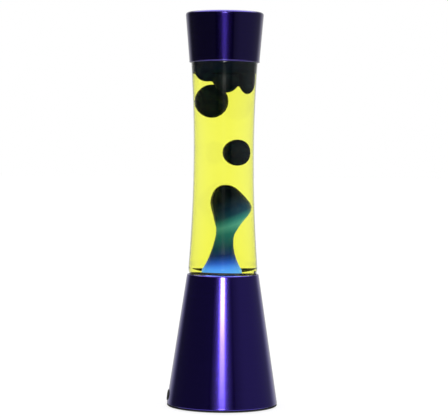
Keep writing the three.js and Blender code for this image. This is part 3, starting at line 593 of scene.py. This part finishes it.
# frosted face over mirrored sides
def bulbGlass(look):
    material, tree, bsdf = newMaterial("bulbGlass")
    _, own = ownPlace(tree)
    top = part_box("bulb_envelope")[1].z
    share = fade(tree, own["Z"], top - look["faceFrom"] * mm, top - look["faceTo"] * mm)
    tree.links.new(blendColours(tree, share, look["mirror"], look["frost"]), bsdf.inputs["Base Color"])
    tree.links.new(calculate(tree, "SUBTRACT", 1.0, share), bsdf.inputs["Metallic"])
    rough = fade(tree, share, 0.0, 1.0, look["mirrorRoughness"], look["frostRoughness"])
    tree.links.new(rough, bsdf.inputs["Roughness"])
    tree.links.new(blendColours(tree, share, (0.0, 0.0, 0.0), look["glow"]), bsdf.inputs["Emission Color"])
    bsdf.inputs["Emission Strength"].default_value = look["glowPower"]
    return material


looks["bulbGlass"] = bulbGlass(bulbLook)
print("materials made:", len(looks))


# the hole for the cord is square to the cone's side, which leans in by run over rise
grommetHole = {"radius": 5.3, "depth": 14, "run": 19.1, "rise": 130.1}


def baseShell(hole):
    shell = spinNode("shell", "base_shell", around=192)
    middle = boxCentre("cord_grommet")
    out = Vector((middle.x, middle.y, 0)).normalized()
    lean = math.atan2(hole["run"], hole["rise"])
    way = (out * math.cos(lean) + Vector((0, 0, math.sin(lean)))).normalized()
    turn = way.to_track_quat("Z", "Y").to_matrix().to_4x4()
    drill = bmesh.new()
    bmesh.ops.create_cone(
        drill, cap_ends=True, segments=48, radius1=hole["radius"] * mm, radius2=hole["radius"] * mm,
        depth=hole["depth"] * mm, matrix=Matrix.Translation(middle) @ turn,
    )
    return carve(shell, [fromBmesh("grommetHole", drill)])


place(baseShell(grommetHole), looks["purpleMetal"], "base", "purple_metal", "base_shell")
place(spinNode("capShell", "top_cap", around=192), looks["capMetal"], "cap", "purple_metal", "top_cap")
bottleOutline, _ = cadOutline("glass_bottle")
place(
    spin("bottle", softened(bottleOutline, False, fillet=0.4 * mm, steps=6), closed=False, around=160),
    looks["bottleGlass"], "bottle", "bottle_glass", "glass_bottle",
)


# The liquid as one clear body up to its level. Its side is drawn out into the wall, because the wall bends light
# with it and the colour is seen to fill the bottle's whole width.
liquidShape = {"underGlass": 0.5, "floorGap": 0.06, "cornerRound": 1.5, "sideFrom": 20, "edgeRound": 0.6}


def liquidBody(shape):
    points = list(bottleOutline)
    if points[0][1] > points[-1][1]:
        points.reverse()
    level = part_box("liquid")[1].z
    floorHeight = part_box("liquid")[0].z + shape["floorGap"] * mm
    mouth = max(range(len(points)), key=lambda i: points[i][1])
    side = [(r, z) for r, z in points[:mouth] if floorHeight < z < level and r > shape["sideFrom"] * mm]
    outer = [(r - shape["underGlass"] * mm, z) for r, z in side]
    outline = [(0.0, floorHeight), (outer[0][0] - shape["cornerRound"] * mm, floorHeight)]
    outline += [p for p in outer if p[1] > floorHeight + shape["cornerRound"] * mm]
    outline += [(outer[-1][0], level), (0.0, level)]
    outline = softened(outline, False, fillet=shape["edgeRound"] * mm, steps=6)
    return spin("liquidBody", outline, closed=False, around=160)


place(liquidBody(liquidShape), looks["liquid"], "bottle", "yellow_liquid", "liquid")
print("outline pieces made")


# wax, melted smooth
def waxPiece(name, node, voxel, passes):
    bm = mergedCopy(node)
    piece = fromBmesh(name, bm)
    remesh = piece.modifiers.new("melt", "REMESH")
    remesh.mode = "VOXEL"
    remesh.voxel_size = voxel
    smooth = piece.modifiers.new("smooth", "SMOOTH")
    smooth.factor = 0.5
    smooth.iterations = passes
    return settle(piece, sharpAngle=180)


columnShape = {
    "footHeight": 15, "footSpread": 0.15, "headFrom": 42, "headOver": 20, "headRise": 2.6, "headShift": -1.4,
    "headMiddle": 6.9, "headSqueeze": 0.09, "bulgeAt": 60, "bulgeHalf": 6, "bulge": 1.7, "bulgeReach": 20,
}


# the foot spreads on the floor, and the head swells a little higher and to the left
def columnWax(shape):
    piece = waxPiece("columnWax", "wax_column", voxel=0.6 * mm, passes=10)
    floor = min(v.co.z for v in piece.data.vertices)
    for v in piece.data.vertices:
        foot = max(0.0, 1 - (v.co.z - floor) / (shape["footHeight"] * mm))
        v.co.xy = v.co.xy * (1 + shape["footSpread"] * foot * foot)
        head = max(0.0, min(1.0, (v.co.z - rimTop - shape["headFrom"] * mm) / (shape["headOver"] * mm)))
        head = head * head * (3 - 2 * head)
        v.co.z += shape["headRise"] * mm * head
        v.co.x -= (v.co.x - shape["headMiddle"] * mm) * shape["headSqueeze"] * head
        v.co.x += shape["headShift"] * mm * head
        off = (v.co.z - rimTop - shape["bulgeAt"] * mm) / (shape["bulgeHalf"] * mm)
        v.co.x += shape["bulge"] * mm * math.exp(-off * off) * max(0.0, v.co.x / (shape["bulgeReach"] * mm))
    return piece


place(columnWax(columnShape), looks["columnWax"], "bottle", "dark_wax", "wax_column")
topWax = waxPiece("topWax", "wax_top", voxel=0.8 * mm, passes=12)
place(topWax, looks["wax"], "bottle", "dark_wax", "wax_top")
for name, node, body in (
    ("upperBall", "upper_wax_ball", "upper_ball"), ("middleBall", "middle_wax_ball", "middle_ball"),
):
    place(waxPiece(name, node, voxel=0.7 * mm, passes=8), looks["wax"], body, "dark_wax", node)
print("wax made")


# node trees for pieces that repeat or follow a path
def newTree(name, inputs):
    tree = bpy.data.node_groups.new(name, "GeometryNodeTree")
    tree.interface.new_socket("Geometry", in_out="OUTPUT", socket_type="NodeSocketGeometry")
    for label, kind in inputs:
        tree.interface.new_socket(label, in_out="INPUT", socket_type=kind)
    return tree, tree.nodes.new("NodeGroupInput"), tree.nodes.new("NodeGroupOutput")


def finishTree(tree, taken, given, geometry):
    real = tree.nodes.new("GeometryNodeRealizeInstances")
    paint = tree.nodes.new("GeometryNodeSetMaterial")
    tree.links.new(geometry, real.inputs["Geometry"])
    tree.links.new(real.outputs[0], paint.inputs["Geometry"])
    tree.links.new(taken.outputs["Material"], paint.inputs["Material"])
    tree.links.new(paint.outputs[0], given.inputs["Geometry"])
    return tree


# equal pieces round the lamp's axis
def makeRingTree():
    tree, taken, given = newTree(
        "ringOfPieces",
        [("Piece", "NodeSocketObject"), ("Count", "NodeSocketInt"), ("Circle", "NodeSocketFloat"),
         ("Start", "NodeSocketFloat"), ("Material", "NodeSocketMaterial")],
    )
    link = tree.links.new
    ring = tree.nodes.new("GeometryNodeMeshCircle")
    link(taken.outputs["Count"], ring.inputs["Vertices"])
    link(taken.outputs["Circle"], ring.inputs["Radius"])
    turn = tree.nodes.new("ShaderNodeCombineXYZ")
    link(taken.outputs["Start"], turn.inputs["Z"])
    started = tree.nodes.new("GeometryNodeTransform")
    link(ring.outputs["Mesh"], started.inputs["Geometry"])
    link(turn.outputs[0], started.inputs["Rotation"])
    one = tree.nodes.new("GeometryNodeObjectInfo")
    link(taken.outputs["Piece"], one.inputs["Object"])
    copies = tree.nodes.new("GeometryNodeInstanceOnPoints")
    link(started.outputs["Geometry"], copies.inputs["Points"])
    link(one.outputs["Geometry"], copies.inputs["Instance"])
    return finishTree(tree, taken, given, copies.outputs["Instances"])


# a round wire wound in even turns
def makeCoilTree():
    tree, taken, given = newTree(
        "woundWire",
        [("Coil radius", "NodeSocketFloat"), ("Wire radius", "NodeSocketFloat"), ("Turns", "NodeSocketFloat"),
         ("Rise", "NodeSocketFloat"), ("Low end", "NodeSocketFloat"), ("Material", "NodeSocketMaterial")],
    )
    link = tree.links.new
    path = tree.nodes.new("GeometryNodeCurveSpiral")
    path.inputs["Resolution"].default_value = 72
    link(taken.outputs["Coil radius"], path.inputs["Start Radius"])
    link(taken.outputs["Coil radius"], path.inputs["End Radius"])
    link(taken.outputs["Turns"], path.inputs["Rotations"])
    link(taken.outputs["Rise"], path.inputs["Height"])
    section = tree.nodes.new("GeometryNodeCurvePrimitiveCircle")
    section.inputs["Resolution"].default_value = 16
    link(taken.outputs["Wire radius"], section.inputs["Radius"])
    wire = tree.nodes.new("GeometryNodeCurveToMesh")
    wire.inputs["Fill Caps"].default_value = True
    link(path.outputs["Curve"], wire.inputs["Curve"])
    link(section.outputs["Curve"], wire.inputs["Profile Curve"])
    lift = tree.nodes.new("ShaderNodeCombineXYZ")
    link(taken.outputs["Low end"], lift.inputs["Z"])
    lifted = tree.nodes.new("GeometryNodeTransform")
    link(wire.outputs["Mesh"], lifted.inputs["Geometry"])
    link(lift.outputs[0], lifted.inputs["Translation"])
    return finishTree(tree, taken, given, lifted.outputs["Geometry"])


def grow(name, tree, values):
    piece = addObject(name, bpy.data.meshes.new(name))
    modifier = piece.modifiers.new("nodes", "NODES")
    modifier.node_group = tree
    names = {item.name: item.identifier for item in tree.interface.items_tree if item.in_out == "INPUT"}
    for label, value in values.items():
        modifier[names[label]] = value
    return settle(piece)


ringTree = makeRingTree()
coilTree = makeCoilTree()


# one piece moved onto the axis, then repeated on its circle
def ringOf(name, nodeNames, piece, look, body, slot):
    middle = boxCentre(nodeNames[0])
    for v in piece.data.vertices:
        v.co.xy -= middle.xy
    values = {
        "Piece": piece, "Count": len(nodeNames), "Circle": middle.xy.length,
        "Start": math.atan2(middle.y, middle.x), "Material": looks[look],
    }
    ring = grow(name, ringTree, values)
    bpy.data.objects.remove(piece)
    place(ring, looks[look], body, slot, *nodeNames)


# what the outline hides: turned pieces, cut pieces and wires
def turned(names, look, body, slot, around=48, fillet=0.15 * mm):
    for name in names:
        middle = boxCentre(name)
        centre = (middle.x, middle.y) if middle.xy.length > 0.1 * mm else (0, 0)
        piece = spinNode("fine_" + name, name, around, centre, fillet)
        place(piece, looks[look], body, slot, name)


def cut(names, look, body, slot, width=0.25 * mm):
    for name in names:
        place(eased("fine_" + name, name, width), looks[look], body, slot, name)


def wires(names, look, body, slot):
    for name in names:
        piece = fromBmesh("fine_" + name, mergedCopy(name))
        rounding = piece.modifiers.new("round", "SUBSURF")
        rounding.levels = 1
        rounding.render_levels = 1
        place(settle(piece, sharpAngle=50), looks[look], body, slot, name)


def oneFoot():
    middle = boxCentre("foot_1")
    return spinNode("oneFoot", "foot_1", around=64, centre=(middle.x, middle.y), fillet=0.3 * mm)


ringOf("feet", ["foot_1", "foot_2", "foot_3"], oneFoot(), "rubber", "base", "rubber")
turned(["lampholder_base", "lampholder_sleeve"], "blackPlastic", "base", "black_plastic", around=96, fillet=0.6 * mm)
turned(["threaded_nipple"], "brass", "base", "brass", fillet=0.1 * mm)
turned(["lampholder_insert"], "ceramic", "base", "ceramic", around=64, fillet=0.4 * mm)
turned(["screw_shell"], "brass", "base", "brass", around=96)
turned(["centre_contact", "live_terminal", "neutral_terminal"], "brass", "base", "brass")
cover = eased("cover", "bottom_cover", width=0.2 * mm, roundFrom=45 * mm)
place(cover, looks["blackPlastic"], "base", "black_plastic", "bottom_cover")
cut(["cord_grommet"], "rubber", "base", "rubber", width=0.2 * mm)
cut(["shell_lug_1", "shell_lug_2", "shell_lug_3", "lampholder_bracket"], "zincSteel", "base", "zinc_steel")
cut(["earth_nut"], "zincSteel", "base", "zinc_steel", width=0.15 * mm)
cut(["nipple_nut", "earth_tag"], "brass", "base", "brass", width=0.15 * mm)
cut(["terminal_block"], "nylon", "base", "nylon", width=0.3 * mm)
wires(["live_lead"], "liveInsulation", "base", "live_insulation")
wires(["neutral_lead"], "neutralInsulation", "base", "neutral_insulation")
wires(["earth_lead"], "earthInsulation", "base", "earth_insulation")

turned(["bulb_envelope"], "bulbGlass", "bulb", "bulb_glass", around=128, fillet=0.4 * mm)
turned(["bulb_cap"], "brass", "bulb", "brass", around=96)
turned(["bulb_insulator"], "blackGlass", "bulb", "black_glass")
turned(["bulb_contact"], "solder", "bulb", "solder", fillet=0.5 * mm)
turned(["bulb_stem"], "stemGlass", "bulb", "stem_glass", fillet=0.4 * mm)
wires(["filament", "support_wire_1", "support_wire_2"], "tungsten", "bulb", "tungsten")


# the wire coil on the bottle's floor
coilShape = {"turns": 2, "wire": 0.9, "lift": 1.2}


def waxCoil(shape):
    low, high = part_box("wax_coil")
    wire = shape["wire"] * mm
    values = {
        "Coil radius": high.x - wire, "Wire radius": wire, "Turns": float(shape["turns"]),
        "Rise": high.z - low.z - 2 * wire, "Low end": low.z + wire + shape["lift"] * mm,
        "Material": looks["coilWire"],
    }
    return grow("coil", coilTree, values)


place(waxCoil(coilShape), looks["coilWire"], "bottle", "coil_wire", "wax_coil")
turned(["crown_liner"], "foam", "bottle", "foam", around=64)


# screws: turned, with a cross cut into the head, and each cross's depth and length
screwShape = {"slotWidth": 0.9, "slotTurn": 20, "headRound": 0.2}
crossSizes = {
    "cover_screw_1": (0.8, 3.4), "bracket_screw_1": (0.8, 3.4), "bracket_screw_2": (0.8, 3.4),
    "block_fixing_screw": (0.6, 2.4), "block_screw_1": (0.5, 2.0), "block_screw_2": (0.5, 2.0),
    "block_screw_3": (0.5, 2.0), "earth_screw": (0.6, 3.0),
}
headsUp = ("block_screw_1", "block_screw_2", "block_screw_3")


def oneScrew(name, shape):
    depth, reach = crossSizes[name]
    low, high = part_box(name)
    middle = (low + high) / 2
    piece = spinNode("fine_" + name, name, 48, (middle.x, middle.y), shape["headRound"] * mm)
    head = Vector((middle.x, middle.y, high.z if name in headsUp else low.z))
    cutters = []
    for turn in (0, 90):
        bm = bmesh.new()
        size = Matrix.Diagonal((reach * mm, shape["slotWidth"] * mm, 2 * depth * mm, 1))
        way = Matrix.Rotation(math.radians(turn + shape["slotTurn"]), 4, "Z")
        bmesh.ops.create_cube(bm, size=1, matrix=Matrix.Translation(head) @ way @ size)
        cutters.append(fromBmesh("slot", bm))
    return carve(piece, cutters)


coverScrews = ["cover_screw_1", "cover_screw_2", "cover_screw_3"]
ringOf("coverScrews", coverScrews, oneScrew(coverScrews[0], screwShape), "zincSteel", "base", "zinc_steel")
for name in crossSizes:
    if name not in coverScrews:
        place(oneScrew(name, screwShape), looks["zincSteel"], "base", "zinc_steel", name)


# the crown's skirt is crimped into flutes
crownShape = {"flutes": 21, "depth": 0.35, "flatTop": 1.6, "skirtFrom": 0.75, "edgeRound": 0.3}


def crownCap(shape):
    piece = spinNode("crown", "crown_cap", shape["flutes"] * 10, (0, 0), shape["edgeRound"] * mm)
    low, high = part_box("crown_cap")
    widest = max(v.co.xy.length for v in piece.data.vertices)
    skirt = high.z - shape["flatTop"] * mm
    for v in piece.data.vertices:
        share = max(0.0, min(1.0, (skirt - v.co.z) / (skirt - low.z)))
        angle = math.atan2(v.co.x, v.co.y)
        radius = v.co.xy.length
        if radius > shape["skirtFrom"] * widest:
            wave = (math.cos(shape["flutes"] * angle) - 1) / 2 * shape["depth"] * mm * share
            v.co.xy = v.co.xy * (1 + wave / radius)
    return piece


place(crownCap(crownShape), looks["zincSteel"], "bottle", "zinc_steel", "crown_cap")


padShape = {"edge": 1.2, "dome": 0.35, "backRound": 0.2, "domeSteps": 12, "edgeSteps": 9}


# a stiff foam disc, slightly domed where it meets the crown
def capPad(shape):
    low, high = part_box("cap_pad")
    reach = (high.x - low.x) / 2
    edge, dome, back = shape["edge"] * mm, shape["dome"] * mm, shape["backRound"] * mm
    outline = [(0.0, low.z)]
    for i in range(1, shape["domeSteps"] + 1):
        share = i / shape["domeSteps"]
        outline.append(((reach - edge) * share, low.z + dome * share ** 2))
    for i in range(1, shape["edgeSteps"]):
        a = math.pi / 2 * i / shape["edgeSteps"]
        outline.append((reach - edge + edge * math.sin(a), low.z + dome + edge * (1 - math.cos(a))))
    outline += [(reach, high.z - back), (reach - back, high.z), (0.0, high.z)]
    return spin("padFoam", outline, closed=False, around=96, sharpAngle=60)


pad = place(capPad(padShape), looks["foam"], "cap", "foam", "cap_pad")
print("hidden pieces made")


# light: a tall softbox in front that is brighter towards its top, a pale floor and a white room
floorLook = {"size": 30.0, "grey": 0.3, "roughness": 0.9, "glow": 0.78}
# the profiles run from the softbox's foot to its top, and from its middle to its sides
softbox = {
    "distance": 2.3, "width": 2.4, "low": -0.25, "high": 0.82, "power": 26.0, "hazePower": 0.5,
    "upward": [
        (0.0, 0.008), (0.30, 0.020), (0.36, 0.052), (0.41, 0.006), (0.53, 0.004), (0.57, 0.068), (0.74, 0.30),
        (0.84, 1.0), (1.0, 1.0),
    ],
    "across": [(0.0, 1.0), (0.13, 1.0), (0.19, 0.5), (0.25, 0.10), (0.40, 0.02), (0.70, 0.005), (1.0, 0.0)],
    "hazeUpward": [
        (0.0, 0.1), (0.30, 0.3), (0.37, 0.5), (0.42, 0.1), (0.53, 0.1), (0.57, 1.0), (0.66, 0.9), (0.82, 0.3),
        (1.0, 0.2),
    ],
    "hazeAcross": [(0.0, 1.0), (0.3, 0.8), (0.6, 0.35), (0.85, 0.06), (1.0, 0.0)],
}
# each zone: the way a reflection looks, where the zone starts and is full, and its strength
room = {
    "front": 0.045, "diffuse": 0.85, "through": 1.14,
    "zones": {
        "behind": ("Y", 0.55, 0.97, 0.45), "right": ("X", 0.25, 0.85, 0.10), "ceiling": ("Z", 0.45, 0.8, 3.0),
        "table": ("Z", -0.45, -0.7, 1.2),
    },
}


def flatPanel(name, corners):
    mesh = bpy.data.meshes.new(name)
    mesh.from_pydata(corners, [], [(0, 1, 2, 3)])
    panel = addObject(name, mesh)
    return panel


def makeFloor(look):
    half = look["size"] / 2
    floor = flatPanel("floor", [(-half, -half, 0), (half, -half, 0), (half, half, 0), (-half, half, 0)])
    material, _, bsdf = newMaterial("floorPaint")
    bsdf.inputs["Base Color"].default_value = (look["grey"], look["grey"], look["grey"], 1)
    bsdf.inputs["Roughness"].default_value = look["roughness"]
    bsdf.inputs["Specular IOR Level"].default_value = 0
    bsdf.inputs["Emission Color"].default_value = (1, 1, 1, 1)
    bsdf.inputs["Emission Strength"].default_value = look["glow"]
    floor.data.materials.append(material)
    floor.visible_glossy = False
    floor.visible_transmission = False


def makeSoftbox(setup):
    half = setup["width"] / 2
    y, low, high = -setup["distance"], setup["low"], setup["high"]
    box = flatPanel("softbox", [(-half, y, low), (-half, y, high), (half, y, high), (half, y, low)])
    material, tree, bsdf = newMaterial("softboxCloth")
    tree.nodes.remove(bsdf)
    _, own = ownPlace(tree)
    height = fade(tree, own["Z"], low, high)
    side = fade(tree, calculate(tree, "ABSOLUTE", own["X"]), 0.0, half)

    def layer(upward, across, power):
        up = ramp(tree, height, [(position, [value] * 3) for position, value in setup[upward]])
        over = ramp(tree, side, [(position, [value] * 3) for position, value in setup[across]])
        return calculate(tree, "MULTIPLY", calculate(tree, "MULTIPLY", up, over), setup[power])

    power = calculate(
        tree, "ADD", layer("upward", "across", "power"), layer("hazeUpward", "hazeAcross", "hazePower")
    )
    glow = feed(tree, addNode(tree, "ShaderNodeEmission"), {"Strength": power})
    tree.links.new(glow.outputs[0], tree.nodes["Material Output"].inputs["Surface"])
    box.data.materials.append(material)
    box.visible_camera = False
    box.visible_transmission = False
    box.visible_shadow = False


# reflections see the zones, and every other ray sees plain white of its own strength
def makeWorld(setup):
    world = bpy.data.worlds.new("room")
    bpy.context.scene.world = world
    world.use_nodes = True
    tree = world.node_tree
    way = addNode(tree, "ShaderNodeTexCoord")
    split = addNode(tree, "ShaderNodeSeparateXYZ")
    tree.links.new(way.outputs["Generated"], split.inputs[0])
    shine = setup["front"]
    for axis, start, full, strength in setup["zones"].values():
        zone = fade(tree, split.outputs[axis], start, full, 0.0, strength, "SMOOTHSTEP")
        shine = calculate(tree, "ADD", zone, shine)
    path = addNode(tree, "ShaderNodeLightPath")

    # sockets 2 and 3 are the ones for plain numbers
    def forRay(kind, others, these):
        mix = addNode(tree, "ShaderNodeMix", {"data_type": "FLOAT"})
        return feed(tree, mix, {0: path.outputs[kind], 2: others, 3: these}).outputs[0]

    power = forRay("Is Reflection Ray", 1.0, shine)
    power = forRay("Is Diffuse Ray", power, setup["diffuse"])
    power = forRay("Is Transmission Ray", power, setup["through"])
    background = feed(tree, tree.nodes["Background"], {"Strength": power})
    background.inputs["Color"].default_value = (1, 1, 1, 1)


makeFloor(floorLook)
makeSoftbox(softbox)
makeWorld(room)
bpy.context.scene.view_settings.view_transform = "Standard"
print("light and floor made")
